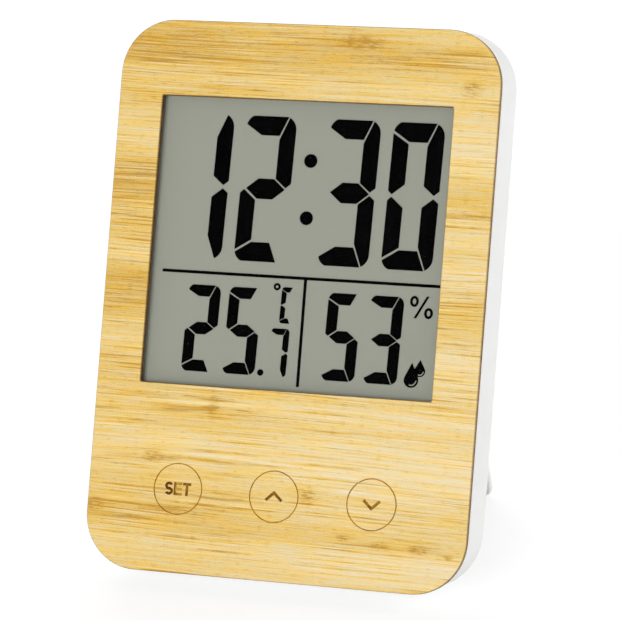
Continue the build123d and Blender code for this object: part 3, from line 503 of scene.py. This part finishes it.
def dress_parts():
    """Gives every CAD node its material."""
    bamboo()
    display_glass()
    display_ground()
    display_marks()
    circuit_board()
    ribbon_film()
    battery_cells()
    moulded_plastic("white_case", (238, 239, 237), ("rear_housing", "stand_leg", "battery_door"), depth=3.0)
    moulded_plastic("grey_frame", (150, 152, 154), ("front_frame", "display_retainer"))
    moulded_plastic("sensor_body", (226, 226, 220), ("climate_sensor",), grain=4.0)
    moulded_plastic("chip_resin", (30, 30, 32), ("controller_chip",), grain=3.0, gloss=0.3)
    moulded_plastic("capacitor_body", (168, 132, 94), ("board_capacitors",), grain=5.0)
    moulded_plastic("red_wire", (178, 34, 32), ("positive_wire",), grain=1.0, gloss=0.35)
    moulded_plastic("black_wire", (34, 34, 36), ("negative_wire",), grain=1.0, gloss=0.35)
    soft_sheet("adhesive", (226, 222, 206), ("panel_adhesive",), cell=0.8, depth=0.02)
    # Black foam gasket behind the window's edge: its dark colour is partly the foam's own and partly
    # painted shade at the base of the window wall
    soft_sheet("gasket_foam", (44, 44, 46), ("window_gasket",))
    soft_sheet("display_seal", (70, 72, 70), ("lcd_edge_seal",), cell=2.5, depth=0.01)
    soft_sheet("pillar_rubber", (52, 52, 54), ("touch_pillars",), cell=3.0, depth=0.02)
    worked_metal("bright_metal", (206, 208, 210), ("quartz_crystal",), gloss=0.24)
    worked_metal("copper_foil", (214, 138, 96), ("touch_pads",), gloss=0.32)
    worked_metal("screw_steel", (176, 178, 182), ("retainer_screws", "board_screws", "case_screws"))
    worked_metal("contact_metal", (200, 198, 190), (
        "positive_contact", "negative_contact", "linking_contact",
    ), gloss=0.26)


# Floor, light and camera

def background_rays(tree):
    """Share of 1 for the rays that show the background: seen, mirrored and seen through glass."""
    paths = tree.nodes.new("ShaderNodeLightPath")
    share = paths.outputs["Is Camera Ray"]
    for kind in ("Is Glossy Ray", "Is Transmission Ray"):
        either = tree.nodes.new("ShaderNodeMath")
        either.operation = "MAXIMUM"
        tree.links.new(share, either.inputs[0])
        tree.links.new(paths.outputs[kind], either.inputs[1])
        share = either.outputs[0]
    return share


def white_floor(half_side=4.0, shadow_depth=0.3, table_shade=0.92, light_on_floor=0.75):
    """Wide floor that shows as white with a faint shadow, and lights the object as a pale table does."""
    corners = [(x * half_side, y * half_side, 0.0) for x, y in ((-1, -1), (1, -1), (1, 1), (-1, 1))]
    mesh = bpy.data.meshes.new("floor")
    mesh.from_pydata(corners, [], [(0, 1, 2, 3)])
    floor = bpy.data.objects.new("floor", mesh)
    bpy.context.scene.collection.objects.link(floor)
    material = bpy.data.materials.new("floor")
    material.use_nodes = True
    tree = material.node_tree
    tree.nodes.remove(tree.nodes["Principled BSDF"])
    table = tree.nodes.new("ShaderNodeBsdfDiffuse")
    table.inputs["Color"].default_value = grey(table_shade)
    shadow = tree.nodes.new("ShaderNodeBsdfDiffuse")
    shadow.inputs["Color"].default_value = grey(shadow_depth)
    glow = tree.nodes.new("ShaderNodeEmission")
    glow.inputs["Strength"].default_value = 1.0 - light_on_floor * shadow_depth
    seen = tree.nodes.new("ShaderNodeAddShader")
    tree.links.new(shadow.outputs[0], seen.inputs[0])
    tree.links.new(glow.outputs[0], seen.inputs[1])
    choice = tree.nodes.new("ShaderNodeMixShader")
    tree.links.new(background_rays(tree), choice.inputs[0])
    tree.links.new(table.outputs[0], choice.inputs[1])
    tree.links.new(seen.outputs[0], choice.inputs[2])
    tree.links.new(choice.outputs[0], tree.nodes["Material Output"].inputs["Surface"])
    mesh.materials.append(material)


def soft_world(level):
    """Even light from all round, seen as plain white."""
    world = bpy.data.worlds.new("studio")
    world.use_nodes = True
    tree = world.node_tree
    white = tree.nodes["Background"]
    white.inputs["Color"].default_value = (1.0, 1.0, 1.0, 1.0)
    strength = tree.nodes.new("ShaderNodeMapRange")
    strength.inputs["To Min"].default_value = level
    strength.inputs["To Max"].default_value = 1.0
    tree.links.new(background_rays(tree), strength.inputs["Value"])
    tree.links.new(strength.outputs[0], white.inputs["Strength"])
    bpy.context.scene.world = world


def soft_box(name, place, side, level):
    """Square lamp aimed at the clock. Level is how bright it makes a white surface that faces it there."""
    aim = case_point(0.0, 0.0, panel_height * mm / 2)
    offset = Vector(place) - aim
    lamp = bpy.data.lights.new(name, "AREA")
    lamp.shape = "SQUARE"
    lamp.size = side
    lamp.energy = level * math.pi ** 2 * offset.length_squared
    made = bpy.data.objects.new(name, lamp)
    made.location = place
    made.rotation_euler = offset.to_track_quat("Z", "Y").to_euler()
    bpy.context.scene.collection.objects.link(made)


def photo_camera():
    """Camera at the photo's angle. Its place and axes were fitted to the corners of panel and window."""
    photo_width = 620
    focal_length = 3509
    middle_across = 309.7
    middle_down = 313.35
    camera = bpy.data.cameras.new("photo_camera")
    camera_place = (0.259804, -0.739139, 0.030260)
    camera_right = (0.943433, 0.322455, 0.077184)
    camera_up = (-0.060522, -0.061398, 0.996277)
    camera.sensor_width = 36.0
    camera.lens = camera.sensor_width * focal_length / photo_width
    camera.shift_x = (photo_width / 2 - middle_across) / photo_width
    camera.shift_y = (middle_down - photo_width / 2) / photo_width
    camera.clip_start = 0.01
    right = case_direction(*camera_right)
    up = case_direction(*camera_up)
    turn = Matrix((right, up, right.cross(up))).transposed().to_4x4()
    made = bpy.data.objects.new("photo_camera", camera)
    made.matrix_world = Matrix.Translation(case_point(*camera_place)) @ turn
    bpy.context.scene.collection.objects.link(made)
    bpy.context.scene.camera = made


dress_parts()
white_floor()
soft_world(level=0.36)
soft_box("key", place=(-0.28, -1.58, 0.52), side=0.8, level=0.54)
soft_box("right_fill", place=(1.3, 0.35, 0.35), side=0.9, level=0.56)
soft_box("rear_fill", place=(-0.7, 1.3, 0.8), side=1.0, level=0.5)
photo_camera()
bpy.context.scene.view_settings.view_transform = "Standard"
